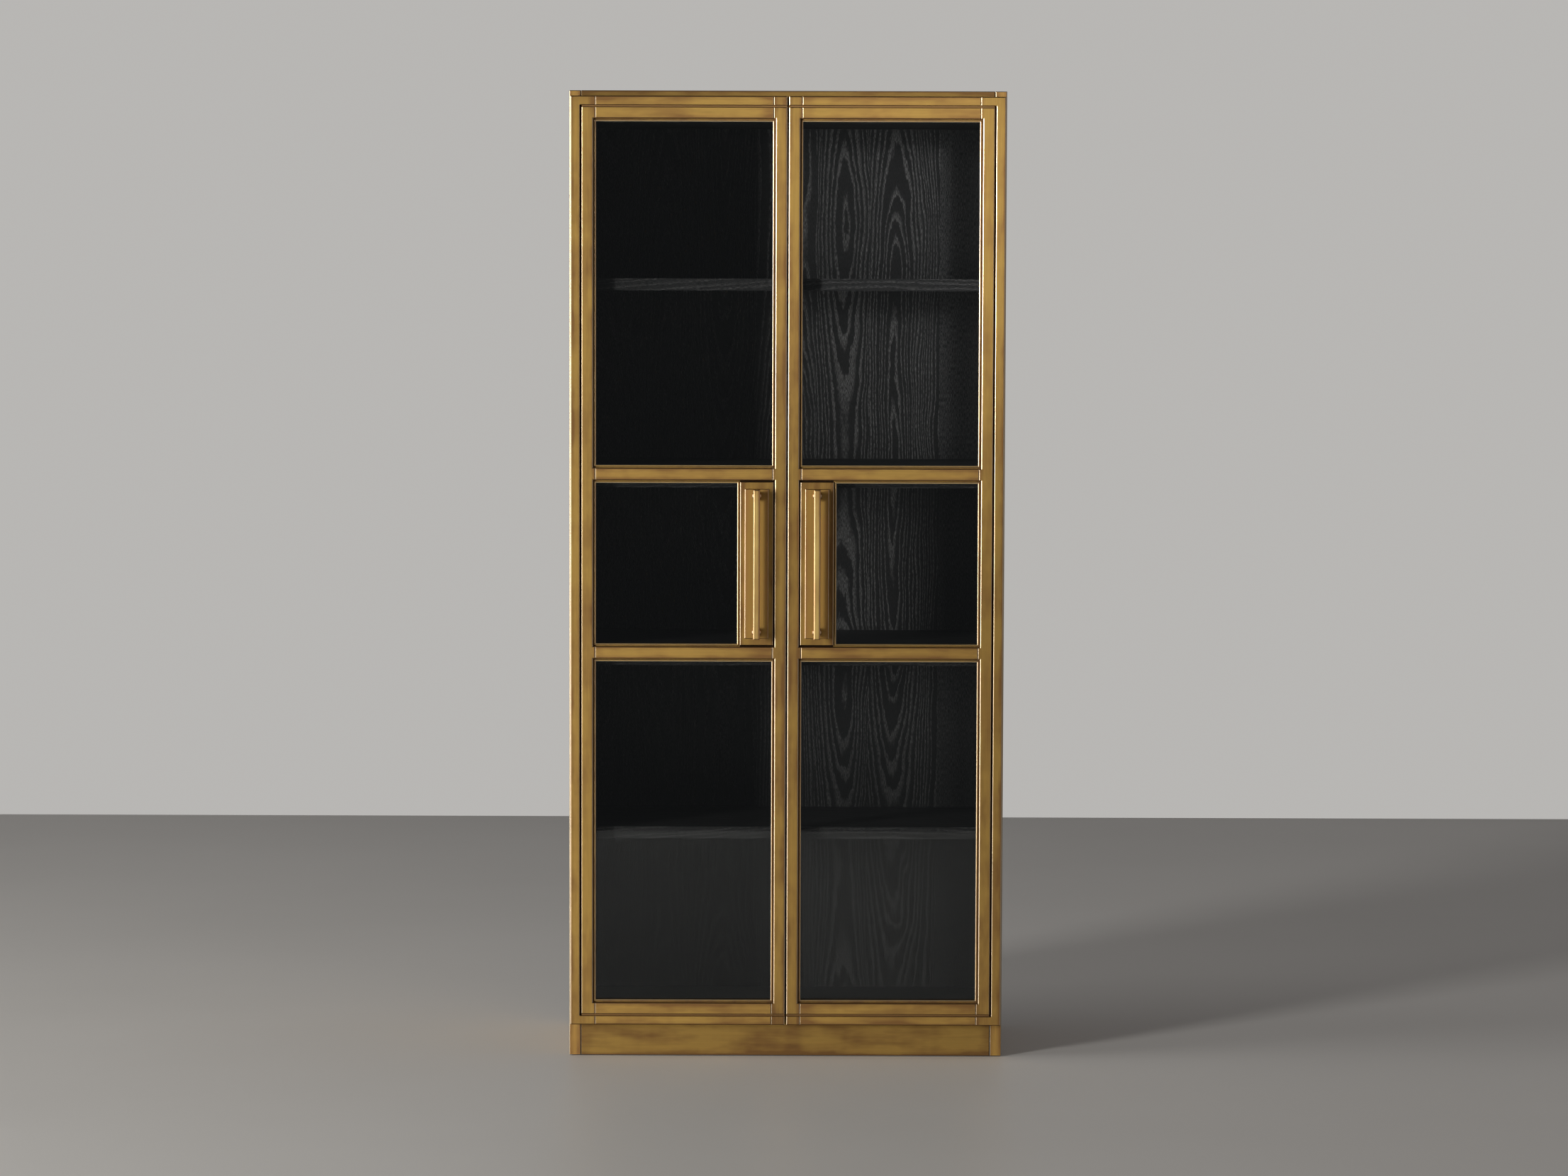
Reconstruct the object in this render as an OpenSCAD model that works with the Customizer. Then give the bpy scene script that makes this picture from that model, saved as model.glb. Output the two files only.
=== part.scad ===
// Apothecary display cabinet: a brass-clad case with a pair of glazed doors, ebonised ash inside.
// X runs to the right, Y to the back and Z up. The origin is on the floor, under the middle of the
// box that holds the cabinet and its handles. Right-hand pieces are drawn and mirrored to the left.

/* [Cabinet] */
// Overall width
cabinet_w = 914; // [860:1:960]
// Overall height above the floor
cabinet_h = 2032; // [1960:1:2100]
// Depth from the door faces to the back edges
cabinet_d = 432; // [400:1:500]
// Thickness of each side panel with its sheet
side_t = 24; // [22:1:28]
// Thickness of the brass sheet
sheet_t = 1.5; // [1:0.5:2]
// Thickness of the top and bottom panels
panel_t = 24; // [20:1:28]
// Thickness of the ceiling, the plinth boards and the other light boards
board_t = 18; // [15:1:20]
// Height of the boxed top, from the ceiling's underside up
boxed_top_h = 66; // [60:1:80]
// Thickness of the back panel
back_t = 12; // [8:1:14]
// Height of the glides under the sides
glide_h = 2; // [1:0.5:4]

/* [Shelves] */
// Thickness of the adjustable shelves
shelf_t = 25; // [18:1:30]
// Thickness of the fixed shelves behind the cross rails
fixed_shelf_t = 47; // [30:1:50]
// Distance from the case's front edge to the shelves
shelf_setback = 22; // [16:1:40]
// Underside of the upper adjustable shelf
upper_shelf_z = 1616; // [1450:1:1750]
// Underside of the lower adjustable shelf
lower_shelf_z = 460; // [350:1:600]

/* [Doors] */
// Thickness of the doors
door_t = 24; // [22:1:28]
// Gap between the doors and the case
door_clear = 2; // [1.5:0.5:3]
// Height of the doors' bottom edge
door_bottom = 70; // [66:1:90]
// Drop from the cabinet's top to the doors' top edge
door_drop = 12; // [8:1:18]
// How far the doors stop short of the case's sides
side_reveal = 3; // [2:0.5:5]
// Gap between the two doors
meeting_gap = 3; // [2:0.5:4]
// Width of the hinge stiles
stile_w = 48; // [46:1:54]
// Width of the top and bottom rails
rail_w = 47; // [46:1:54]
// Width of the meeting stiles
slim_w = 24; // [22:1:28]
// Width of the cross rails
cross_w = 26; // [22:1:30]
// Height of the middle opening
middle_h = 349; // [340:1:400]
// How far the stiles reach past the opening's edge at each rail
ear_w = 4.5; // [3:0.5:6]
// Rounding of the front edges
arris_r = 2.5; // [1.5:0.5:3]
// Wall of the brass sections
wall_t = 1.5; // [1:0.5:2]

/* [Shadow groove] */
// Width of the groove
groove_w = 4; // [3:0.5:5]
// Depth of its upright runs
groove_d = 8; // [6:0.5:10]
// Depth of its level runs
level_groove_d = 4; // [3:0.5:8]
// Distance from the opening's edge to the groove's centre
groove_in = 26; // [25:0.5:27]

/* [Glazing] */
// Thickness of the glass
glass_t = 5; // [4:0.5:6]
// Dark gap between the frame and the bead's lip
bead_gap = 2; // [1.5:0.5:3]
// Width of the bead's lip
bead_lip = 4; // [3:0.5:5]

/* [Handles] */
// Length of the pull bar and of its backplate
handle_len = 314; // [200:1:320]
// Width of the panel that carries the handle, from the meeting stile's edge
handle_bay_w = 72.5; // [70:0.5:90]
// Width of the backplate
plate_w = 50; // [40:1:56]
// Thickness of the backplate
plate_t = 4; // [3:0.5:5]
// Width of the bar
bar_w = 14; // [12:0.5:18]
// Depth of the bar
bar_t = 12; // [10:0.5:14]
// Finger room behind the bar
grip_gap = 23; // [20:1:30]
// Diameter of the posts' beads
post_d = 20; // [14:1:20]
// Distance from the bar's ends to the posts' centres
post_in = 14; // [10:1:30]

/* [Hidden] */
$fn = 48;

half_w = cabinet_w / 2;
inner_x = half_w - side_t;

panel_sink = 1;
handle_out = plate_t + grip_gap + bar_t - panel_sink;
case_back = (cabinet_d + handle_out) / 2;
door_front = case_back - cabinet_d;
door_back = door_front + door_t;
case_front = door_back + door_clear;
core_front = case_front + sheet_t;
back_face = case_back - back_t - 2;
shelf_front = case_front + shelf_setback;

door_top = cabinet_h - door_drop;
door_mid = (door_bottom + door_top) / 2;
door_edge = half_w - side_reveal;
meet_x = meeting_gap / 2;
open_left = meet_x + slim_w;
open_right = door_edge - stile_w;
groove_x = open_right + groove_in;
low_z = door_bottom + rail_w;
high_z = door_top - rail_w;
mid_low = door_mid - middle_h / 2;
mid_high = door_mid + middle_h / 2;
groove_low = low_z - groove_in;
groove_high = high_z + groove_in;

floor_z = door_bottom + 16;
ceiling_z = cabinet_h - boxed_top_h;
shelf_over_rail = 4;
fixed_tops = [mid_low + shelf_over_rail, mid_high + cross_w + shelf_over_rail];

seam_gap = 1.5;
seam_r = 1;
edge_r = 1.5;
bar_edge_r = 3;

bead_deep = 5.5;
bead_base = 8;
bead_lip_r = 1.8;
glass_front = 13;
glass_back = glass_front + glass_t;
mitre_gap = 0.1;

bay_edge = open_left + handle_bay_w;
bay_gap = 3;
grip_x = (open_left + bay_gap + bay_edge) / 2;
plate_face = door_front + panel_sink - plate_t;
post_zs = [for (s = [-1, 1]) door_mid + s * (handle_len / 2 - post_in)];
bay_front_t = 8;
bay_web_t = 4;
grip_screw_r = 2.5;

axis_in = 6.5;
axis_x = door_edge - axis_in;
axis_y = door_front + door_t / 2;
pin_r = 3;
pin_len = 17;
pin_clear = 0.05;
bush_r = 4.5;
arm_t = 3;
arm_half = 4.5;
arm_gap = 0.5;
pocket_h = arm_t + 2 * arm_gap;
pocket_r = 8.5;
leg_h = 36;
leg_screws = [14, 26];
leg_screw_r = 1.5;

magnet_r = 4;
magnet_len = 10;
magnet_zs = [floor_z - 8, ceiling_z + 24];
meet_mid = meet_x + slim_w / 2;

shelf_pin_r = 2.5;
pin_pitch = 32;
pin_ys = [shelf_front + 40, back_face - 40];
shelf_zs = [lower_shelf_z, upper_shelf_z];

back_screw_r = 1.75;
back_screw_xs = [-390, -130, 130, 390];
back_screw_zs = [floor_z - panel_t / 2, fixed_tops[0] - fixed_shelf_t / 2,
    fixed_tops[1] - fixed_shelf_t / 2, ceiling_z + board_t / 2];
wall_hole_r = 2;
wall_hole_x = 300;

brass = "darkgoldenrod";
case_brass = "peru";
dark_brass = "saddlebrown";
ash = "dimgray";
steel = "silver";

CASE_NODES = ["left_side_panel", "right_side_panel", "left_side_cladding", "right_side_cladding",
    "top_panel", "top_cladding", "ceiling_panel", "top_front_rail", "top_back_rail", "bottom_panel",
    "plinth_front_board", "plinth_back_board", "plinth_cladding", "back_panel", "back_panel_screws",
    "upper_fixed_shelf", "lower_fixed_shelf", "upper_adjustable_shelf", "lower_adjustable_shelf",
    "shelf_pins", "glides", "door_magnets", "pivot_brackets", "bracket_screws"];
DOOR_NODES = ["hinge_stile", "meeting_stile", "top_rail", "upper_cross_rail", "lower_cross_rail",
    "bottom_rail", "end_blocks", "pivot_bushes", "upper_glass", "middle_glass", "lower_glass",
    "glazing_beads", "handle_panel", "handle_backplate", "handle_posts", "handle_bar",
    "handle_screws", "strike_plates"];

// ---- Shared shapes ----

// A box between two corners
module block(lo, hi) {
    translate(lo) cube(hi - lo);
}

module left_and_right() {
    children();
    mirror([1, 0, 0]) children();
}

// The children, and their mirror image about the doors' mid height
module top_and_bottom() {
    children();
    translate([0, 0, 2 * door_mid]) mirror([0, 0, 1]) children();
}

// What rounding takes off a corner at the origin, of material that fills +x and +y
module corner_waste(r) {
    difference() {
        translate([-1, -1]) square(r + 1);
        translate([r, r]) circle(r);
    }
}

// A rectangle with its two front corners rounded: x across the width, y into the depth
module rounded_front(w, t, r) {
    difference() {
        square([w, t]);
        corner_waste(r);
        translate([w, 0]) mirror([1, 0]) corner_waste(r);
    }
}

// A plate between two corners, with all four front edges rounded
module rounded_plate(lo, hi, r) {
    size = hi - lo;
    intersection() {
        translate(lo) linear_extrude(size.z) rounded_front(size.x, size.y, r);
        translate([hi.x, lo.y, lo.z]) rotate([0, -90, 0])
            linear_extrude(size.x) rounded_front(size.z, size.y, r);
    }
}

// A door member along Z from a flat section: x across, y back from the door's face
module upright(x, z0, z1) {
    translate([x, door_front, z0]) linear_extrude(z1 - z0) children();
}

// A door member along X from a section whose x runs up
module crosswise(x0, x1, z) {
    translate([x1, door_front, z]) rotate([0, -90, 0]) linear_extrude(x1 - x0) children();
}

// A brass section with a rounded front; chambers lists the start and width of each hollow
module frame_section(w, chambers) {
    difference() {
        rounded_front(w, door_t, arris_r);
        for (c = chambers)
            translate([c[0], wall_t]) square([c[1], door_t - 2 * wall_t]);
    }
}

function wide_chambers(w) = [
    [wall_t, groove_in - groove_w / 2 - 2 * wall_t],
    [groove_in + groove_w / 2 + wall_t, w - groove_in - groove_w / 2 - 2 * wall_t]
];
function slim_chamber(w) = [[wall_t, w - 2 * wall_t]];

// The shadow groove's section, with rounded lips, about x = 0
module groove_section(deep) {
    translate([-groove_w / 2, -1]) square([groove_w, deep + 1]);
    translate([-groove_w / 2, 0]) mirror([1, 0]) corner_waste(edge_r);
    translate([groove_w / 2, 0]) corner_waste(edge_r);
}

module level_grooves(x0, x1) {
    for (z = [groove_low, groove_high]) crosswise(x0, x1, z) groove_section(level_groove_d);
}

// The joint where a stile and a rail meet, cut from the face of both: a slit with rounded lips
module seams(x) {
    slit_w = 1.2;
    upright(x, door_bottom - 1, door_top + 1) {
        translate([-slit_w / 2, -1]) square([slit_w, 3]);
        for (side = [0, 1]) mirror([side, 0]) translate([slit_w / 2, 0]) corner_waste(seam_r);
    }
}

// ---- Case ----

function pin_rows(z) = [for (k = [-2:2]) z - shelf_pin_r + k * pin_pitch];

module leg_seat(extra) {
    block([axis_x - arm_half, case_front - extra, door_bottom + arm_gap],
          [axis_x + arm_half, case_front + arm_t, door_bottom + arm_gap + leg_h]);
}

module leg_screw_holes(r, y0, y1) {
    for (z = leg_screws)
        translate([axis_x, y1, door_bottom + z]) rotate([90, 0, 0]) cylinder(h = y1 - y0, r = r);
}

module side_panel() {
    color(ash) difference() {
        block([inner_x, core_front, glide_h], [half_w - sheet_t, case_back, cabinet_h - sheet_t]);
        for (y = pin_ys) for (shelf = shelf_zs) for (z = pin_rows(shelf))
            translate([inner_x - 1, y, z]) rotate([0, 90, 0]) cylinder(h = 11, r = shelf_pin_r);
        top_and_bottom() {
            leg_seat(1);
            leg_screw_holes(leg_screw_r, case_front, case_front + 22);
        }
    }
}

module side_cladding() {
    color(case_brass) difference() {
        translate([half_w, case_front, glide_h]) mirror([1, 0, 0])
            linear_extrude(cabinet_h - glide_h) difference() {
                square([side_t, case_back - case_front]);
                corner_waste(2);
                translate([side_t, 0]) mirror([1, 0]) corner_waste(seam_r);
            }
        block([inner_x - 1, core_front, 0], [half_w - sheet_t, case_back + 1, cabinet_h - sheet_t]);
        top_edge_waste();
        top_and_bottom() leg_seat(1);
    }
}

// Rounds the case's top front edge
module top_edge_waste() {
    translate([half_w + 1, case_front, cabinet_h]) rotate([0, -90, 0]) linear_extrude(cabinet_w + 2)
        mirror([1, 0]) corner_waste(edge_r);
}

module top_panel() {
    color(ash) block([-inner_x, core_front, cabinet_h - panel_t],
                     [inner_x, case_back, cabinet_h - sheet_t]);
}

module top_cladding() {
    x = inner_x - seam_gap;
    color(case_brass) difference() {
        block([-x, case_front, cabinet_h - panel_t], [x, case_back, cabinet_h]);
        block([-half_w, core_front, 0], [half_w, case_back + 1, cabinet_h - sheet_t]);
        for (side = [0, 1]) mirror([side, 0, 0]) translate([-x, case_front, cabinet_h - panel_t - 1])
            linear_extrude(panel_t + 2) corner_waste(seam_r);
        top_edge_waste();
    }
}

module ceiling_panel() {
    color(ash) difference() {
        block([-inner_x, case_front + board_t, ceiling_z], [inner_x, back_face, ceiling_z + board_t]);
        back_screw_holes();
    }
}

module top_front_rail() {
    color(ash) difference() {
        block([-inner_x, case_front, ceiling_z],
              [inner_x, case_front + board_t, cabinet_h - panel_t]);
        magnets(1);
    }
}

module top_back_rail() {
    color(ash) difference() {
        block([-inner_x, case_back - board_t, ceiling_z + board_t],
              [inner_x, case_back, cabinet_h - panel_t]);
        for (x = [-wall_hole_x, wall_hole_x])
            translate([x, case_back + 1, (ceiling_z + board_t + cabinet_h - panel_t) / 2])
                rotate([90, 0, 0]) cylinder(h = 16, r = wall_hole_r);
    }
}

module bottom_panel() {
    color(ash) difference() {
        block([-inner_x, core_front, floor_z - panel_t], [inner_x, back_face, floor_z]);
        magnets(1);
        back_screw_holes();
    }
}

module plinth_front_board() {
    color(ash) block([-inner_x, core_front, glide_h],
                     [inner_x, core_front + board_t, floor_z - panel_t]);
}

module plinth_back_board() {
    color(ash) block([-inner_x, case_back - 2 - board_t, glide_h],
                     [inner_x, case_back - 2, floor_z - panel_t]);
}

module plinth_cladding() {
    x = inner_x - seam_gap;
    color(case_brass) difference() {
        translate([-x, case_front, glide_h]) linear_extrude(floor_z - glide_h)
            rounded_front(2 * x, sheet_t, seam_r);
        magnets(1);
    }
}

module back_panel() {
    color(ash) difference() {
        block([-inner_x, back_face, floor_z - panel_t],
              [inner_x, back_face + back_t, ceiling_z + board_t]);
        back_screw_holes();
    }
}

module back_screw_places() {
    for (x = back_screw_xs) for (z = back_screw_zs)
        translate([x, back_face + back_t, z]) rotate([90, 0, 0]) children();
}

module back_screw_holes() {
    back_screw_places() translate([0, 0, -1]) cylinder(h = back_t + 19, r = back_screw_r);
}

module back_panel_screws() {
    color(steel) back_screw_places() {
        cylinder(h = back_t + 18, r = back_screw_r);
        translate([0, 0, -1.5]) cylinder(h = 1.5, r = 4);
    }
}

module fixed_shelf(top_z) {
    color(ash) difference() {
        block([-inner_x, shelf_front, top_z - fixed_shelf_t], [inner_x, back_face, top_z]);
        back_screw_holes();
    }
}

module adjustable_shelf(z) {
    color(ash) block([1 - inner_x, shelf_front, z], [inner_x - 1, back_face - 2, z + shelf_t]);
}

module shelf_pins() {
    color(steel) left_and_right()
        for (y = pin_ys) for (z = shelf_zs)
            translate([inner_x - 8, y, z - shelf_pin_r]) rotate([0, 90, 0])
                cylinder(h = 17, r = shelf_pin_r);
}

module glides() {
    color("black") left_and_right()
        for (y = [case_front + 30, case_back - 30])
            translate([half_w - side_t / 2, y, 0]) cylinder(h = glide_h, r = 10);
}

// The magnets, flush with the case's front; over lengthens them forwards as a cutter
module magnets(over) {
    left_and_right() for (z = magnet_zs)
        translate([meet_mid, case_front + magnet_len, z]) rotate([90, 0, 0])
            cylinder(h = magnet_len + over, r = magnet_r);
}

module door_magnets() {
    color(steel) magnets(0);
}

// One bracket under the door: a leg let into the side's front edge, an arm and the pivot pin
module pivot_bracket() {
    base = door_bottom + arm_gap;
    difference() {
        union() {
            leg_seat(0);
            block([axis_x - arm_half, axis_y, base], [axis_x + arm_half, case_front + arm_t, base + arm_t]);
            translate([axis_x, axis_y, base]) cylinder(h = arm_t, r = arm_half);
            translate([axis_x, axis_y, base]) cylinder(h = arm_t + pin_len, r = pin_r);
        }
        leg_screw_holes(leg_screw_r, case_front - 1, case_front + arm_t + 1);
        leg_screw_holes(2.8, case_front - 1, case_front + edge_r);
    }
}

module pivot_brackets() {
    color(steel) left_and_right() top_and_bottom() pivot_bracket();
}

module bracket_screws() {
    color(steel) left_and_right() top_and_bottom() {
        leg_screw_holes(leg_screw_r, case_front, case_front + 21);
        leg_screw_holes(2.8, case_front, case_front + edge_r);
    }
}

// ---- Right-hand door ----

// The room in the door's end that the bracket's arm needs as the door swings
module pivot_pocket() {
    block([axis_x - pocket_r, axis_y - pocket_r, door_bottom - 1],
          [door_edge + 1, door_back + 1, door_bottom + pocket_h]);
}

// Rounds the hinge stile's outer back edge, which swings past the case
module back_edge_waste() {
    translate([door_edge, door_back, door_bottom - 1]) rotate([0, 0, 180])
        linear_extrude(door_top - door_bottom + 2) corner_waste(2);
}

// Rounds the front edges of a stile's two ends
module stile_end_waste(x0, x1) {
    top_and_bottom() crosswise(x0 - 1, x1 + 1, door_bottom) corner_waste(arris_r);
}

module ears(x0, x1) {
    for (z = [door_bottom, high_z]) crosswise(x0, x1, z) rounded_front(rail_w, door_t, arris_r);
    for (z = [mid_low - cross_w, mid_high]) crosswise(x0, x1, z) rounded_front(cross_w, door_t, arris_r);
}

module hinge_stile() {
    color(brass) difference() {
        union() {
            upright(open_right, door_bottom, door_top) frame_section(stile_w, wide_chambers(stile_w));
            difference() {
                ears(open_right - ear_w, open_right + arris_r + 1);
                upright(open_right + wall_t, door_bottom, door_top)
                    translate([0, wall_t]) square([stile_w, door_t - 2 * wall_t]);
            }
        }
        seams(open_right - ear_w);
        upright(groove_x, groove_low - groove_w / 2, groove_high + groove_w / 2) groove_section(groove_d);
        level_grooves(open_right - ear_w - 1, groove_x + groove_w / 2);
        stile_end_waste(open_right, door_edge);
        top_and_bottom() pivot_pocket();
        back_edge_waste();
    }
}

module meeting_stile() {
    color(brass) difference() {
        union() {
            upright(meet_x, door_bottom, door_top) frame_section(slim_w, slim_chamber(slim_w));
            difference() {
                ears(open_left - arris_r - 1, open_left + ear_w);
                upright(meet_x, door_bottom, door_top)
                    translate([0, wall_t]) square([slim_w - wall_t, door_t - 2 * wall_t]);
            }
        }
        seams(open_left + ear_w);
        stile_end_waste(meet_x, open_left);
        level_grooves(meet_x - 1, open_left + ear_w + 1);
    }
}

module rail(z, w, chambers) {
    color(brass) difference() {
        crosswise(open_left + ear_w, open_right - ear_w, z) frame_section(w, chambers);
        seams(open_left + ear_w);
        seams(open_right - ear_w);
        level_grooves(open_left, open_right);
    }
}

module top_rail() {
    rail(high_z, rail_w, wide_chambers(rail_w));
}

module upper_cross_rail() {
    rail(mid_high, cross_w, slim_chamber(cross_w));
}

module lower_cross_rail() {
    rail(mid_low - cross_w, cross_w, slim_chamber(cross_w));
}

module bottom_rail() {
    translate([0, 0, 2 * door_mid]) mirror([0, 0, 1]) top_rail();
}

// Plugs in the ends of both stiles; the hinge stile's outer plugs carry the bushes
module end_blocks() {
    color(dark_brass) difference() {
        top_and_bottom() {
            for (c = wide_chambers(stile_w)) end_block(open_right + c[0], c[1]);
            for (c = slim_chamber(slim_w)) end_block(meet_x + c[0], c[1]);
        }
        level_grooves(meet_x, groove_x);
        top_and_bottom() {
            pivot_pocket();
            translate([axis_x, axis_y, door_bottom]) cylinder(h = pocket_h + pin_len, r = bush_r);
        }
    }
}

module end_block(x, w) {
    block([x, door_front + wall_t, door_bottom], [x + w, door_back - wall_t, low_z]);
}

module pivot_bushes() {
    color("goldenrod") top_and_bottom() translate([axis_x, axis_y, door_bottom + pocket_h])
        difference() {
            cylinder(h = pin_len, r = bush_r);
            translate([0, 0, -1]) cylinder(h = pin_len + 2, r = pin_r + pin_clear);
        }
}

module pane(x0, x1, z0, z1) {
    color("lightcyan", 0.35) block([x0 + 1, door_front + glass_front, z0 + 1],
                                   [x1 - 1, door_front + glass_back, z1 - 1]);
}

module upper_glass() {
    pane(open_left, open_right, mid_high + cross_w, high_z);
}

module middle_glass() {
    pane(bay_edge, open_right, mid_low, mid_high);
}

module lower_glass() {
    pane(open_left, open_right, low_z, mid_low - cross_w);
}

// Sections of the front and rear beads: x in from the opening's edge, y back from the door's face
module bead_sections() {
    reach = bead_gap + bead_lip;
    difference() {
        polygon([[0, glass_front], [0, bead_base], [bead_gap, bead_base], [bead_gap, bead_deep],
            [reach, bead_deep], [reach, glass_front]]);
        translate([bead_gap, bead_deep]) corner_waste(bead_lip_r);
        translate([reach, bead_deep]) mirror([1, 0]) corner_waste(bead_lip_r);
    }
    difference() {
        translate([0, glass_back]) square([reach, door_t - glass_back]);
        translate([reach, door_t]) rotate(180) corner_waste(1);
    }
}

// A length of both beads along X, mitred at its ends
module bead_strip(len) {
    half = len / 2;
    run = bead_gap + bead_lip + 1;
    intersection() {
        translate([half, 0, 0]) rotate([0, -90, 0]) linear_extrude(len) bead_sections();
        translate([0, door_t, 0]) rotate([90, 0, 0]) linear_extrude(door_t)
            polygon([[mitre_gap - half, 0], [half - mitre_gap, 0],
                [half - mitre_gap - run, run], [mitre_gap - half + run, run]]);
    }
}

module bead_ring(x0, x1, z0, z1) {
    translate([(x0 + x1) / 2, door_front, (z0 + z1) / 2]) {
        for (turn = [0, 180]) rotate([0, turn, 0])
            translate([0, 0, (z0 - z1) / 2]) bead_strip(x1 - x0);
        for (turn = [90, 270]) rotate([0, turn, 0])
            translate([0, 0, (x0 - x1) / 2]) bead_strip(z1 - z0);
    }
}

module glazing_beads() {
    color(brass) {
        bead_ring(open_left, open_right, mid_high + cross_w, high_z);
        bead_ring(bay_edge, open_right, mid_low, mid_high);
        bead_ring(open_left, open_right, low_z, mid_low - cross_w);
    }
}

// The screws' line through each post, along Y from the back; children start at the panel's web
module grip_screw_places() {
    for (z = post_zs)
        translate([grip_x, door_front + panel_sink + bay_front_t + bay_web_t, z])
            rotate([90, 0, 0]) children();
}

module grip_screw_shanks(over) {
    grip_screw_places() translate([0, 0, -over])
        cylinder(h = over + bay_web_t + bay_front_t + plate_t + 12, r = grip_screw_r);
}

module handle_panel() {
    face = door_front + panel_sink;
    color(brass) difference() {
        union() {
            rounded_plate([open_left + bay_gap, face, mid_low + bay_gap],
                          [bay_edge, face + bay_front_t + 1, mid_high - bay_gap], edge_r);
            block([open_left, face + bay_front_t, mid_low], [bay_edge, door_back, mid_high]);
        }
        block([open_left + 6, face + bay_front_t + bay_web_t, mid_low + 6],
              [bay_edge - 6, door_back + 1, mid_high - 6]);
        grip_screw_shanks(1);
    }
}

module handle_backplate() {
    color(brass) difference() {
        rounded_plate([grip_x - plate_w / 2, plate_face, door_mid - handle_len / 2],
                      [grip_x + plate_w / 2, plate_face + plate_t, door_mid + handle_len / 2], edge_r);
        grip_screw_shanks(0);
    }
}

// A turned post standing on z = 0: a foot, a neck, a round bead and a neck under the bar
module turned_post() {
    r = post_d / 2;
    neck_in = 3.5;
    foot_h = 1.5;
    rotate_extrude() intersection() {
        square([r, grip_gap]);
        union() {
            square([r - neck_in, grip_gap]);
            square([r, foot_h]);
            translate([0, (grip_gap + foot_h) / 2]) scale([1, 0.6]) circle(r);
        }
    }
}

module handle_posts() {
    color(brass) difference() {
        for (z = post_zs) translate([grip_x, plate_face, z]) rotate([90, 0, 0]) turned_post();
        grip_screw_shanks(0);
    }
}

module handle_bar() {
    y = plate_face - grip_gap;
    color(brass) rounded_plate([grip_x - bar_w / 2, y - bar_t, door_mid - handle_len / 2],
                               [grip_x + bar_w / 2, y, door_mid + handle_len / 2], bar_edge_r);
}

module handle_screws() {
    color(steel) {
        grip_screw_shanks(0);
        grip_screw_places() translate([0, 0, -3]) cylinder(h = 3, r = 4.5);
    }
}

module strike_plates() {
    color(steel) for (z = magnet_zs)
        translate([meet_mid, door_back + 1, z]) rotate([90, 0, 0]) cylinder(h = 1, r = 6);
}

// ---- Nodes ----

mirror([1, 0, 0]) side_panel();  // left_side_panel
side_panel();  // right_side_panel
mirror([1, 0, 0]) side_cladding();  // left_side_cladding
side_cladding();  // right_side_cladding
top_panel();
top_cladding();
ceiling_panel();
top_front_rail();
top_back_rail();
bottom_panel();
plinth_front_board();
plinth_back_board();
plinth_cladding();
back_panel();
back_panel_screws();
fixed_shelf(fixed_tops[1]);  // upper_fixed_shelf
fixed_shelf(fixed_tops[0]);  // lower_fixed_shelf
adjustable_shelf(upper_shelf_z);  // upper_adjustable_shelf
adjustable_shelf(lower_shelf_z);  // lower_adjustable_shelf
shelf_pins();
glides();
door_magnets();
pivot_brackets();
bracket_screws();
for (side = ["left", "right"]) mirror([side == "left" ? 1 : 0, 0, 0]) {
    hinge_stile();
    meeting_stile();
    top_rail();
    upper_cross_rail();
    lower_cross_rail();
    bottom_rail();
    end_blocks();
    pivot_bushes();
    upper_glass();
    middle_glass();
    lower_glass();
    glazing_beads();
    handle_panel();
    handle_backplate();
    handle_posts();
    handle_bar();
    handle_screws();
    strike_plates();
}
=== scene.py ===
"""The looks of the brass-clad apothecary cabinet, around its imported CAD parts. Metres, doors face -Y."""

import math
from collections import namedtuple

import bpy
from mathutils import Matrix, Vector


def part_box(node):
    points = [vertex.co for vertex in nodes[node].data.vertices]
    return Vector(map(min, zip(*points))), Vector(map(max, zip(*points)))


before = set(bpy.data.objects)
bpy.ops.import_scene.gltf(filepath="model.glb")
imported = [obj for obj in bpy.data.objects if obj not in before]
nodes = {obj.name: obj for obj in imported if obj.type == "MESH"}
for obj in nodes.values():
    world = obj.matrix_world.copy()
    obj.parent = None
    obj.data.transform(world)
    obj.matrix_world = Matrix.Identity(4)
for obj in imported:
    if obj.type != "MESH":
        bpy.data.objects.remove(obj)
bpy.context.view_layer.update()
SIDES = ("left", "right")
RAILS = ("top_rail", "upper_cross_rail", "lower_cross_rail", "bottom_rail")


# ---- Camera and studio ----

CAMERA_PLACE = (-0.0056, -9.578, 1.6306)
CAMERA_TILT = 3.88  # degrees below level
CAMERA_ROLL = 0.18  # degrees
LENS = 103  # millimetres, on a sensor 36 wide
CABINET_MIDDLE = (0, -0.2, 1.0)
DAYLIGHT = (1.0, 0.985, 0.95)
FLOOR_HALF = 4.1


def link(item):
    bpy.context.scene.collection.objects.link(item)
    return item


def make_camera():
    """A long lens, a little above the middle of the cabinet and tilted down at it."""
    data = bpy.data.cameras.new("camera")
    data.sensor_width = 36
    data.lens = LENS
    camera = link(bpy.data.objects.new("camera", data))
    tilt = Matrix.Rotation(math.radians(90 - CAMERA_TILT), 4, "X")
    roll = Matrix.Rotation(math.radians(CAMERA_ROLL), 4, "Z")
    camera.matrix_world = Matrix.Translation(CAMERA_PLACE) @ tilt @ roll
    bpy.context.scene.camera = camera


def aimed_lamp(name, kind, place, target, watts):
    """A lamp that faces target, and its settings."""
    data = bpy.data.lights.new(name, kind)
    data.energy = watts
    lamp = link(bpy.data.objects.new(name, data))
    lamp.location = place
    lamp.rotation_euler = (Vector(target) - Vector(place)).to_track_quat("-Z", "Y").to_euler()
    return data


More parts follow.
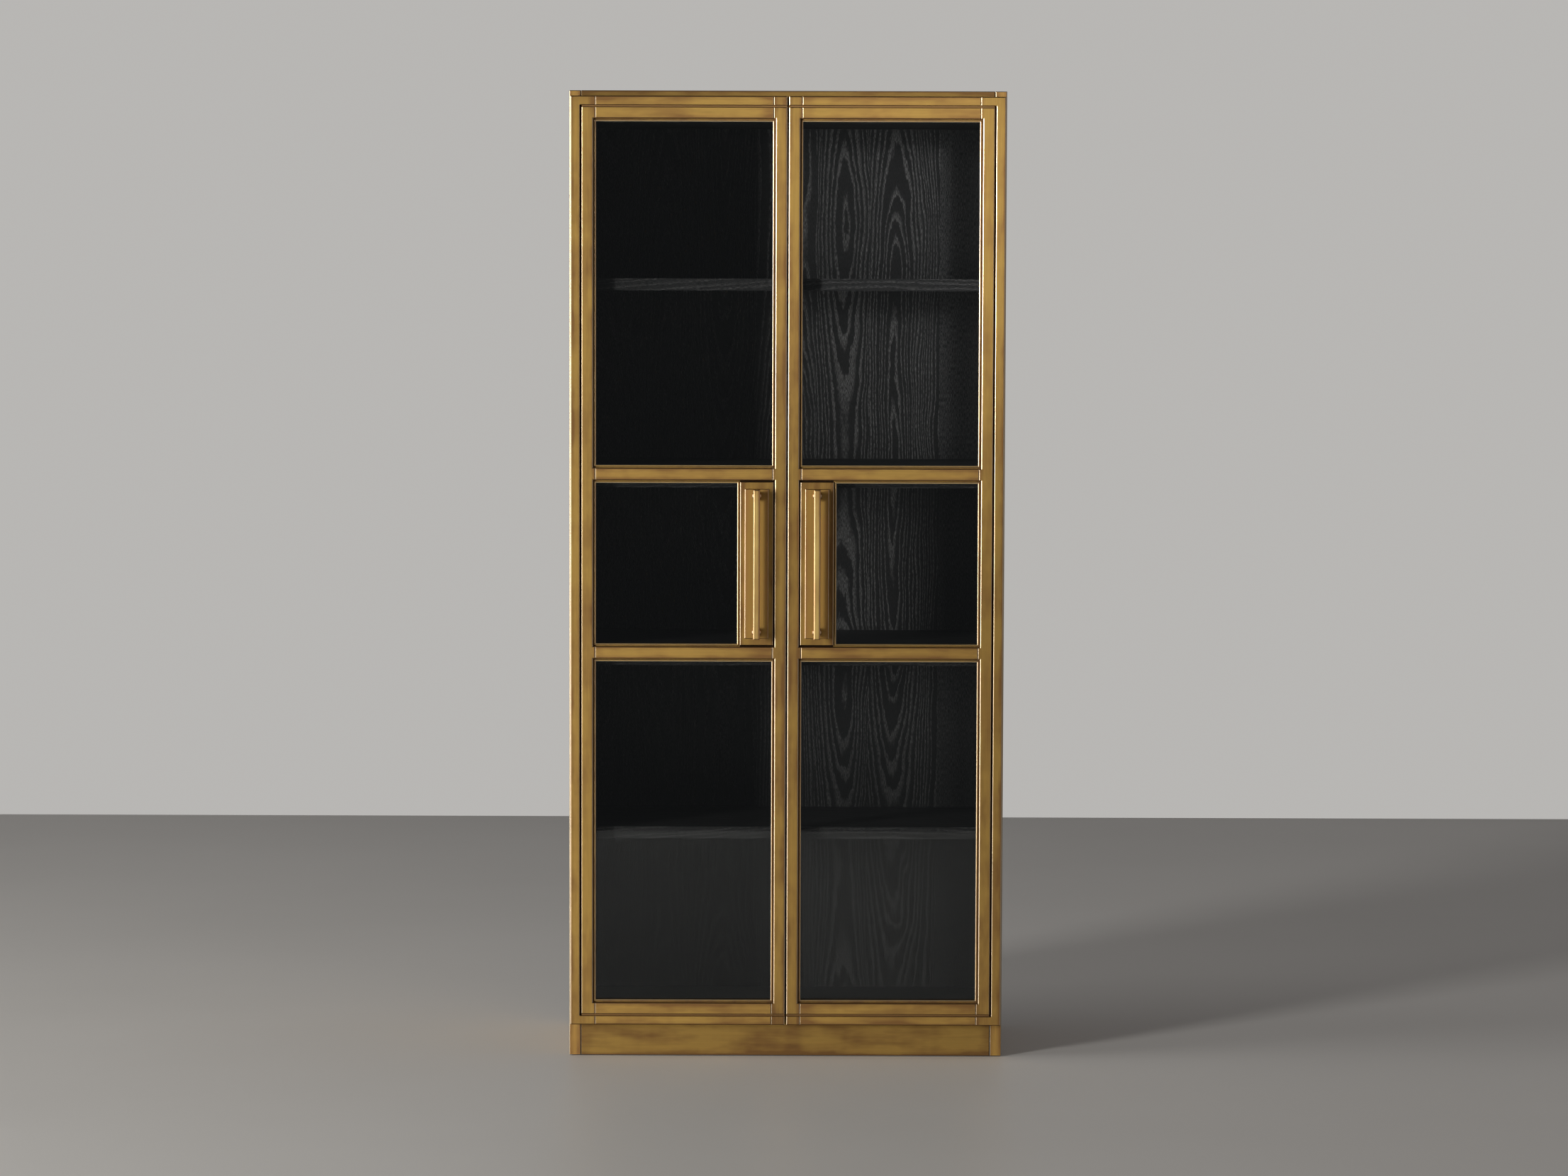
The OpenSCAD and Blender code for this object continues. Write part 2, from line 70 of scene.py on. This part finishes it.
def area_light(name, place, size, watts, colour):
    """A rectangular soft light that faces the cabinet."""
    data = aimed_lamp(name, "AREA", place, CABINET_MIDDLE, watts)
    data.shape = "RECTANGLE"
    data.size, data.size_y = size
    data.color = colour


def spot_light(name, place, target, watts, cone, radius):
    """A lamp whose soft round patch of light falls on target; cone is the patch's angle in degrees."""
    data = aimed_lamp(name, "SPOT", place, target, watts)
    data.spot_size = math.radians(cone)
    data.spot_blend = 1.0
    data.shadow_soft_size = radius


def make_lights():
    """Daylight from the left, a weak warm fill from the right, and a brighter patch at the upper right."""
    area_light("window", (-6.3, -6.5, 1.9), (1.4, 3.0), 560, DAYLIGHT)
    area_light("side_window", (-7.0, -1.6, 1.8), (3.6, 4.0), 230, DAYLIGHT)
    area_light("right_fill", (7.0, -3.0, 1.8), (4.0, 4.0), 30, (1.0, 0.88, 0.84))
    spot_light("upper_right_spot", (-6.0, -6.6, 2.6), (0.68, -0.2, 1.82), 4600, 9, 0.35)


def make_surround():
    """A pale backdrop for the camera. The metal and glass see a room that is dim in front and above."""
    world = bpy.data.worlds.new("studio")
    world.use_nodes = True
    bpy.context.scene.world = world
    room = Nodes(world.node_tree)
    sight = room.add("ShaderNodeTexCoord").outputs["Generated"]
    toward = room.add("ShaderNodeSeparateXYZ", {0: sight}).outputs
    walls = room.mix(room.ease(toward["Y"], -0.85, 0.1), (0.077, 0.078, 0.079), (0.25, 0.24, 0.235))
    walls = room.shade(walls, room.ease(toward["Z"], 0.35, 0.8, 1.0, 0.3))
    seen = room.add("ShaderNodeLightPath").outputs["Is Camera Ray"]
    back = world.node_tree.nodes["Background"]
    world.node_tree.links.new(room.mix(seen, walls, (0.48, 0.47, 0.455)), back.inputs["Color"])


def make_floor():
    mesh = bpy.data.meshes.new("floor")
    corners = [(x * FLOOR_HALF, y * FLOOR_HALF, 0) for x, y in ((-1, -1), (1, -1), (1, 1), (-1, 1))]
    mesh.from_pydata(corners, [], [(0, 1, 2, 3)])
    floor = link(bpy.data.objects.new("floor", mesh))
    shader = Shader("floor", {"Roughness": 0.45})
    clouds = shader.noise(shader.scaled((0.8, 0.8, 0.8)), 3)
    shader.colour(shader.mix(clouds, (0.69, 0.675, 0.65), (0.80, 0.785, 0.76)))
    mesh.materials.append(shader.material)


# ---- Node trees ----

class Nodes:
    """A node tree, with a short call for each kind of node."""

    def __init__(self, tree):
        self.tree = tree

    def add(self, kind, inputs=None, **settings):
        node = self.tree.nodes.new(kind)
        for key, value in settings.items():
            setattr(node, key, value)
        for key, value in (inputs or {}).items():
            if isinstance(value, bpy.types.NodeSocket):
                self.tree.links.new(value, node.inputs[key])
            else:
                node.inputs[key].default_value = value
        return node

    def calc(self, operation, a, b=0.0, c=0.0):
        return self.add("ShaderNodeMath", {0: a, 1: b, 2: c}, operation=operation).outputs[0]

    def ease(self, value, start, end, low=0.0, high=1.0):
        """Eases from low to high as value goes from start to end."""
        return self.add("ShaderNodeMapRange",
                        {"Value": value, "From Min": start, "From Max": end, "To Min": low, "To Max": high},
                        interpolation_type="SMOOTHSTEP").outputs["Result"]

    def mix(self, share, a, b):
        """Colour a where share is 0 and b where it is 1."""
        a, b = (c if isinstance(c, bpy.types.NodeSocket) else (*c, 1) for c in (a, b))
        return self.add("ShaderNodeMix", {0: share, 6: a, 7: b}, data_type="RGBA").outputs[2]

    def shade(self, colour, factor):
        """The colour times a factor."""
        return self.add("ShaderNodeVectorMath", {0: colour, "Scale": factor}, operation="SCALE").outputs[0]

    def sway(self, noise, reach, value):
        """The value, swayed up or down by the noise, which goes through reach from its 0 to its 1."""
        return self.calc("MULTIPLY_ADD", self.calc("SUBTRACT", noise, 0.5), reach, value)


class Shader(Nodes):
    """A material on the Principled shader, patterned by the place in the row frame."""

    def __init__(self, name, constants=None):
        self.material = bpy.data.materials.new(name)
        self.material.use_nodes = True
        super().__init__(self.material.node_tree)
        self.surface = self.tree.nodes["Principled BSDF"]
        for key, value in (constants or {}).items():
            self.surface.inputs[key].default_value = value
        self.place = self.add("ShaderNodeTexCoord").outputs["Object"]

    def axes(self):
        """The place's X, Y and Z, by letter."""
        return dict(zip("XYZ", self.add("ShaderNodeSeparateXYZ", {0: self.place}).outputs))

    def scaled(self, scale, shift=(0, 0, 0)):
        return self.add("ShaderNodeMapping", {"Vector": self.place, "Scale": scale,
                                              "Location": shift}).outputs[0]

    def noise(self, vector, detail, roughness=0.5):
        return self.add("ShaderNodeTexNoise", {"Vector": vector, "Scale": 1.0, "Detail": detail,
                                               "Roughness": roughness}).outputs["Fac"]

    def looks(self):
        """How squarely the surface looks along each axis, either way: 1 on a face square to the axis."""
        normal = self.add("ShaderNodeTexCoord").outputs["Normal"]
        parts = self.add("ShaderNodeSeparateXYZ", {0: normal}).outputs
        return {axis: self.calc("ABSOLUTE", part) for axis, part in zip("XYZ", parts)}

    def arris(self):
        """1 on rounded arrises and 0 on faces square to the axes, and 1 where an arris looks up or down."""
        looks = self.looks()
        most = self.calc("MAXIMUM", self.calc("MAXIMUM", looks["X"], looks["Y"]), looks["Z"])
        return self.ease(self.calc("SUBTRACT", 1.0, most), 0.01, 0.06), self.ease(looks["Z"], 0.15, 0.35)

    def margins(self, node):
        """How far the place is from the nearer end of the node's box, along each axis."""
        lo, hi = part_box(node)
        axes = self.axes()
        return {axis: self.calc("MINIMUM", self.calc("SUBTRACT", axes[axis], low),
                                self.calc("SUBTRACT", high, axes[axis]))
                for axis, low, high in zip("XYZ", lo, hi)}

    def colour(self, value):
        self.tree.links.new(value, self.surface.inputs["Base Color"])

    def roughness(self, value):
        self.tree.links.new(value, self.surface.inputs["Roughness"])

    def bump(self, height, depth):
        """Raises the surface by depth metres where height is 1."""
        bump = self.add("ShaderNodeBump", {"Height": height, "Distance": depth, "Strength": 1.0})
        self.tree.links.new(bump.outputs[0], self.surface.inputs["Normal"])


def across_and_along(along, across_scale, along_scale):
    """A scale for each axis: along_scale on the axis that the grain follows, across_scale on the others."""
    return tuple(along_scale if axis == along else across_scale for axis in "XYZ")


# ---- Brass ----

# Clean brass, its patina, and the handles' paler brass
GOLD = (0.88, 0.55, 0.155)
BROWN = (0.425, 0.23, 0.085)
PALE_GOLD = (0.98, 0.72, 0.26)
# Painted shade in the doors' grooves, gaps and openings, shallow and deep, and how far behind the door's
# face the one gives way to the other
SOFT_SHADOW = (0.30, 0.175, 0.075)
SHADOW = (0.045, 0.027, 0.016)
SHALLOW, DEEP = 0.0043, 0.0065
# How far behind the door's face the painted shade starts
SHADOW_START = 0.0022
SHADOW_STARTS = {"glazing_beads": 0.0073, "handle_panel": 0.0034}
# Upright arrises on the doors, on the case's sides and on its top and plinth; on the top and plinth they
# carry painted shade
RUBBED = (0.55, 0.45, 0.32)
RUBBED_DULL = (0.42, 0.37, 0.27)
UPRIGHT_PAINTED_SHADE = (0.16, 0.11, 0.06)
# Level arrises, in painted shade, and those of the glazing beads, with a painted highlight
LEVEL_PAINTED_SHADE = (0.20, 0.115, 0.045)
LEVEL_PAINTED_HIGHLIGHT = (0.95, 0.85, 0.60)


def tinted(colour, factor):
    return tuple(c * factor for c in colour)


def in_grooves(shader, tint, start):
    """The tint of a door part, with painted shade from start metres behind the door's face to just short of
    its back, where its grooves, gaps and openings would lie in shade. Only the deep grooves are painted
    black, and the door's outer side stays bright."""
    lo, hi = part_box("right_hinge_stile")
    axes = shader.axes()
    depth = shader.calc("SUBTRACT", axes["Y"], lo.y)
    back = hi.y - lo.y
    shadow = shader.mix(shader.ease(depth, SHALLOW, DEEP), SOFT_SHADOW, SHADOW)
    hidden = shader.calc("MULTIPLY", shader.ease(depth, start, start + 0.0022),
                         shader.ease(depth, back - 0.001, back - 0.0025))
    outer = shader.ease(shader.calc("ABSOLUTE", axes["X"]), hi.x - 0.0015, hi.x - 0.0005, 1.0, 0.0)
    return shader.mix(shader.calc("MULTIPLY", hidden, outer), tint, shadow)


def brass(node, along, seed, gold, brown, wear=0.75, rough=0.45, groove=None, arris_share=0.9,
          upright=RUBBED, level=LEVEL_PAINTED_SHADE, folded=False):
    """Aged brass, brushed along one axis. Brown patina lies in clouds and at the ends. Along the edges the
    brass is browner, partly patina and partly painted shade beside grooves and gaps. By the share
    arris_share, the rounded arrises take the colours upright and level, by the way they run: level is
    painted shade, or a painted highlight on the glazing beads. groove is how far behind the door's face the
    painted shade starts. A folded sheet runs back from the front, and is darker there."""
    shader = Shader(f"{node}_brass", {"Metallic": 1.0})
    shift = (seed * 1.7, seed * 2.3, seed * 3.1)
    brushed = shader.noise(shader.scaled(across_and_along(along, 900, 9), shift), 2)
    streaks = shader.noise(shader.scaled(across_and_along(along, 130, 3), shift), 2)
    clouds = shader.noise(shader.scaled(across_and_along(along, 26, 7), shift), 3, 0.55)
    bands = shader.noise(shader.scaled(across_and_along(along, 3, 17), shift), 2)

    margins = shader.margins(node)
    ends = shader.calc("SUBTRACT", margins[along], shader.calc("MULTIPLY", clouds, 0.05))
    ends = shader.ease(ends, -0.022, 0.015, 0.4 * wear, 0.0)
    across = "X" if along == "Z" else "Z"
    margin = margins[across]
    if folded:
        back = shader.ease(shader.looks()[across], 0.6, 0.8)
        margin = shader.calc("MULTIPLY_ADD", back, shader.calc("SUBTRACT", margins["Y"], margin), margin)
        wear = shader.ease(back, 0.0, 1.0, wear, 0.6 * wear)
    # Browner along the edges: partly patina, partly painted shade beside grooves and gaps
    edges = shader.ease(margin, 0.001, 0.004, 0.55, 0.0)
    ragged = shader.calc("SUBTRACT", margin, shader.calc("MULTIPLY", clouds, 0.012))
    edges = shader.calc("ADD", edges, shader.ease(ragged, -0.004, 0.005, 0.45, 0.0))

    patina_and_shade = shader.ease(clouds, 0.34, 0.68, 0.0, 0.8)
    patina_and_shade = shader.sway(streaks, 0.5, patina_and_shade)
    patina_and_shade = shader.sway(bands, 1.3, patina_and_shade)
    patina_and_shade = shader.calc("MULTIPLY_ADD", patina_and_shade, wear, shader.calc("ADD", ends, edges))
    patina_and_shade = shader.calc("MINIMUM", shader.calc("MAXIMUM", patina_and_shade, 0.0), 1.0)
    tint = shader.mix(patina_and_shade, gold, brown)
    tint = shader.shade(tint, shader.ease(brushed, 0.2, 0.8, 0.94, 1.05))
    if folded:
        tint = shader.shade(tint, shader.ease(back, 0.0, 1.0, 1.0, 0.45))
    rough = shader.calc("MULTIPLY_ADD", patina_and_shade, 0.10, rough)
    rough = shader.calc("MULTIPLY_ADD", brushed, 0.08, rough)

    arris_band, looks_level = shader.arris()
    # Upright arrises take their worn colour; level ones take painted shade, or a painted highlight on the
    # glazing beads
    tint = shader.mix(shader.calc("MULTIPLY", arris_band, arris_share), tint, shader.mix(looks_level, upright, level))
    rough = shader.calc("MULTIPLY", rough, shader.calc("MULTIPLY_ADD", arris_band, -0.35, 1.0))
    # Painted shade in the door's grooves, gaps and openings
    if groove:
        tint = in_grooves(shader, tint, groove)
    shader.colour(tint)
    shader.roughness(rough)
    shader.bump(shader.calc("MULTIPLY", brushed, shader.calc("SUBTRACT", 1.0, arris_band)), 0.00003)
    return shader.material


# ---- Wood, glass and fittings ----

Stave = namedtuple("Stave", "centre heart length strength")
RING_PITCH = 0.0062
BLACK_ASH = (0.0113, 0.0103, 0.0111)
OPEN_GRAIN = (0.133, 0.124, 0.127)


def stave_at(shader, place, staves):
    """The stave that holds the place across the board, as one value or node for each of its numbers."""
    chosen = list(staves[0])
    for before, after in zip(staves, staves[1:]):
        past = shader.calc("GREATER_THAN", place, (before.centre + after.centre) / 2)
        for k, (old, new) in enumerate(zip(before, after)):
            chosen[k] = shader.calc("MULTIPLY_ADD", past, new - old, chosen[k])
    return Stave(*chosen)


def growth_rings(shader, node, along, across, seed, stave):
    """The number of growth rings between the stave's heart line and the place. The heart line lies under the
    face and swells up to it, so the rings show as long lines, arches and ovals."""
    axes = shader.axes()
    wander = shader.noise(shader.scaled(across_and_along(along, 9, 2.6), (seed, seed, seed)), 2)
    quiver = shader.noise(shader.scaled(across_and_along(along, 60, 16), (seed, seed, seed)), 2)
    sideways = shader.sway(quiver, 0.004, shader.sway(wander, 0.04, axes[across]))
    sideways = shader.calc("SUBTRACT", sideways, stave.centre)

    turn = shader.calc("DIVIDE", shader.calc("SUBTRACT", axes[along], stave.heart), stave.length)
    swell = shader.calc("COSINE", shader.calc("MULTIPLY", turn, 2 * math.pi))
    depth = shader.calc("MULTIPLY_ADD", shader.calc("MULTIPLY", swell, stave.length), -0.013, 0.048)
    depth = shader.sway(wander, 0.03, depth)
    through = next(axis for axis in "XYZ" if axis not in (along, across))
    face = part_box(node)[0]["XYZ".index(through)]
    depth = shader.calc("ADD", depth, shader.calc("SUBTRACT", axes[through], face))

    radius = shader.calc("SQRT", shader.calc("ADD", shader.calc("MULTIPLY", sideways, sideways),
                                             shader.calc("MULTIPLY", depth, depth)))
    jags = shader.noise(shader.scaled(across_and_along(along, 170, 45), (seed, 0, seed)), 2)
    rings = shader.calc("MULTIPLY", shader.sway(jags, 0.0035, radius), 1 / RING_PITCH)
    uneven = shader.noise(shader.add("ShaderNodeCombineXYZ", {0: shader.calc("MULTIPLY", rings, 0.4),
                                                             1: seed * 3.7}).outputs[0], 2)
    return shader.calc("MULTIPLY_ADD", uneven, 3.0, rings)


def ash(node, along, across, seed, staves, dim=1.0, painted_shade_heights=None):
    """Ebonised ash: black, with the open grain of its growth rings lighter. A stave is the centre of its
    board's heart, the place along it where its rings lie closest to the face, the length of their swell and
    how strongly they show. dim darkens the board, and painted_shade_heights is the pair of heights between
    which it lightens: painted shade, darker towards the bottom."""
    shader = Shader(f"{node}_ash", {"Specular IOR Level": 0.27})
    axes = shader.axes()
    stave = stave_at(shader, axes[across], staves)
    phase = shader.calc("FRACT", growth_rings(shader, node, along, across, seed, stave))
    early = shader.calc("MULTIPLY", shader.ease(phase, 0.0, 0.10), shader.ease(phase, 0.22, 0.58, 1.0, 0.0))
    pores = shader.noise(shader.scaled(across_and_along(along, 1000, 120)), 1)
    specks = shader.ease(pores, 0.44, 0.60)
    open_grain = shader.calc("MULTIPLY", early, shader.calc("MULTIPLY_ADD", specks, 0.8, 0.2))
    haze = shader.noise(shader.scaled((7, 7, 7), (seed, 0, 0)), 2)
    open_grain = shader.calc("MULTIPLY", open_grain, shader.ease(haze, 0.25, 0.6, 0.6, 1.0))
    open_grain = shader.calc("MULTIPLY", open_grain, stave.strength)
    # Weaker staves show more scattered pores; on the back panel's right-hand stave they are painted light in
    # its shade
    weak = shader.calc("SUBTRACT", 1.0, stave.strength)
    scattered_pores_and_painted_light = shader.calc("MULTIPLY_ADD", shader.calc("MULTIPLY", weak, weak), 0.40, 0.06)
    open_grain = shader.calc("MULTIPLY_ADD", specks, scattered_pores_and_painted_light, open_grain)
    # Painted shade: the board is darker towards the bottom
    if painted_shade_heights:
        dim = shader.ease(axes["Z"], *painted_shade_heights, 0.3 * dim, dim)
    tint = shader.mix(open_grain, BLACK_ASH, OPEN_GRAIN)
    shader.colour(shader.shade(tint, dim))
    shader.roughness(shader.calc("MULTIPLY_ADD", open_grain, 0.25, 0.42))
    shader.bump(shader.calc("MULTIPLY", open_grain, -1.0), 0.00025)
    return shader.material


def glass(ior=1.45):
    """Clear float glass: what is behind shows through, with reflections that grow at a slant. Nothing bends
    the rays, so both faces of a pane reflect as its front does."""
    shader = Shader("clear_glass")
    tree = shader.tree
    clear = shader.add("ShaderNodeBsdfTransparent", {"Color": (0.93, 0.945, 0.94, 1)})
    smear = shader.noise(shader.scaled((3, 3, 3)), 3)
    shine = shader.add("ShaderNodeBsdfGlossy", {"Color": (0.93, 0.97, 1.0, 1),
                                                "Roughness": shader.ease(smear, 0.3, 0.8, 0.015, 0.05)})
    behind = shader.add("ShaderNodeNewGeometry").outputs["Backfacing"]
    index = shader.calc("MULTIPLY_ADD", behind, 1 / ior - ior, ior)
    edge_on = shader.add("ShaderNodeFresnel", {"IOR": index})
    mixed = shader.add("ShaderNodeMixShader", {0: edge_on.outputs[0], 1: clear.outputs[0],
                                               2: shine.outputs[0]})
    tree.nodes.remove(shader.surface)
    tree.links.new(mixed.outputs[0], tree.nodes["Material Output"].inputs["Surface"])
    return shader.material


def metal(name, light, dark, rough):
    """Plain turned or drawn metal with fine marks and a slightly uneven colour."""
    shader = Shader(name, {"Metallic": 1.0})
    marks = shader.noise(shader.scaled((300, 300, 300)), 3)
    stain = shader.noise(shader.scaled((40, 40, 40)), 3)
    shader.colour(shader.mix(shader.ease(stain, 0.3, 0.75), light, dark))
    shader.roughness(shader.calc("MULTIPLY_ADD", marks, 0.2, rough))
    shader.bump(marks, 0.00002)
    return shader.material


def nylon():
    shader = Shader("black_nylon")
    grain = shader.noise(shader.scaled((900, 900, 900)), 2)
    shader.colour(shader.mix(grain, (0.012, 0.012, 0.012), (0.03, 0.03, 0.03)))
    shader.roughness(shader.calc("MULTIPLY_ADD", grain, 0.2, 0.45))
    shader.bump(grain, 0.00005)
    return shader.material


# ---- What each part is made of ----

def finish_with(node, material):
    """Puts the material on every face of a CAD node."""
    for slot in nodes[node].material_slots:
        slot.material = material


def dress_doors():
    """Each part's tone and how its brass is worn; the handles are paler and smoother."""
    frames = {"hinge_stile": 0.70, "meeting_stile": 0.67, "top_rail": 0.72, "upper_cross_rail": 0.78,
              "lower_cross_rail": 0.76, "bottom_rail": 0.76, "end_blocks": 0.6, "handle_panel": 0.66,
              "glazing_beads": 0.8}
    grips = {"handle_backplate": (tinted(GOLD, 0.65), 0.9), "handle_posts": (PALE_GOLD, 0.6),
             "handle_bar": (PALE_GOLD, 0.3)}
    for number, side in enumerate(SIDES):
        for seed, (part, tone) in enumerate(frames.items()):
            node = f"{side}_{part}"
            along = "X" if part in RAILS else "Z"
            # The glazing beads' level arrises get a painted highlight, the other parts' painted shade
            level = LEVEL_PAINTED_HIGHLIGHT if part == "glazing_beads" else LEVEL_PAINTED_SHADE
            groove = SHADOW_STARTS.get(part, SHADOW_START)
            finish_with(node, brass(node, along, 3 + seed * 5 + number * 71, tinted(GOLD, tone),
                                    tinted(BROWN, tone), groove=groove, level=level))
        for seed, (part, (gold, arris_share)) in enumerate(grips.items()):
            node = f"{side}_{part}"
            finish_with(node, brass(node, "Z", 60 + seed * 5 + number * 71, gold, tinted(BROWN, 1.1),
                                    wear=0.4, rough=0.46, arris_share=arris_share))


def dress_cladding():
    """Each sheet's direction of brushing, tone and wear."""
    for seed, (node, along, tone, wear) in enumerate((
            ("left_side_cladding", "Z", 0.88, 0.6), ("right_side_cladding", "Z", 0.84, 0.6),
            # The top sheet's low tone is partly painted shade on the strip set back above the doors
            ("top_cladding", "X", 0.51, 0.65), ("plinth_cladding", "X", 0.58, 1.0))):
        # The top's and plinth's upright arrises get painted shade
        finish_with(node, brass(node, along, 200 + seed * 7, tinted(GOLD, tone), tinted(BROWN, tone), wear,
                                upright=RUBBED_DULL if along == "Z" else UPRIGHT_PAINTED_SHADE, folded=True))


def dress_boards():
    """The back panel is seven staves wide, and the other boards are one or three."""
    # The last stave's low strength lightens it with scattered pores: painted light on the shaded right-hand
    # part
    back = (Stave(-0.39, 0.7, 1.9, 0.3), Stave(-0.265, 1.3, 1.9, 0.5), Stave(-0.137, 2.1, 2.9, 0.8),
            Stave(0.0, 0.4, 2.9, 0.8), Stave(0.125, 1.75, 0.95, 1.0), Stave(0.233, 1.28, 2.9, 1.0),
            Stave(0.43, 1.0, 1.9, 0.1))
    finish_with("back_panel", ash("back_panel", "Z", "X", 5, back, painted_shade_heights=(0.42, 0.92)))
    side = (Stave(-0.11, 1.5, 1.9, 0.8), Stave(0.02, 0.8, 2.9, 0.8), Stave(0.15, 1.2, 1.9, 0.8))
    shelf = (Stave(-0.10, 0.2, 1.9, 0.5), Stave(0.02, -0.3, 1.9, 0.5), Stave(0.15, 0.1, 1.9, 0.5))
    boards = {}
    for node in ("left_side_panel", "right_side_panel"):
        boards[node] = ("Z", "Y", side, 1.0)
    for node in ("top_panel", "ceiling_panel", "bottom_panel", "upper_fixed_shelf", "lower_fixed_shelf",
                 "upper_adjustable_shelf", "lower_adjustable_shelf"):
        boards[node] = ("X", "Y", shelf, 0.7)
    for node in ("top_front_rail", "top_back_rail", "plinth_front_board", "plinth_back_board"):
        boards[node] = ("X", "Z", (Stave(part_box(node)[0].z + 0.02, 0.1, 1.9, 0.7),), 1.0)
    for seed, (node, (along, across, staves, dim)) in enumerate(boards.items()):
        finish_with(node, ash(node, along, across, 8 + seed * 3, staves, dim))


def dress_fittings():
    steel = metal("brushed_steel", (0.62, 0.61, 0.60), (0.45, 0.44, 0.43), 0.28)
    bronze = metal("bearing_bronze", (0.70, 0.42, 0.22), (0.45, 0.26, 0.13), 0.35)
    pane = glass()
    for node in ("back_panel_screws", "shelf_pins", "door_magnets", "pivot_brackets", "bracket_screws"):
        finish_with(node, steel)
    finish_with("glides", nylon())
    for side in SIDES:
        for node in ("handle_screws", "strike_plates"):
            finish_with(f"{side}_{node}", steel)
        finish_with(f"{side}_pivot_bushes", bronze)
        for level in ("upper", "middle", "lower"):
            finish_with(f"{side}_{level}_glass", pane)


# ---- The scene ----

bpy.context.scene.view_settings.view_transform = "Standard"
make_camera()
make_surround()
make_lights()
make_floor()
dress_doors()
dress_cladding()
dress_boards()
dress_fittings()
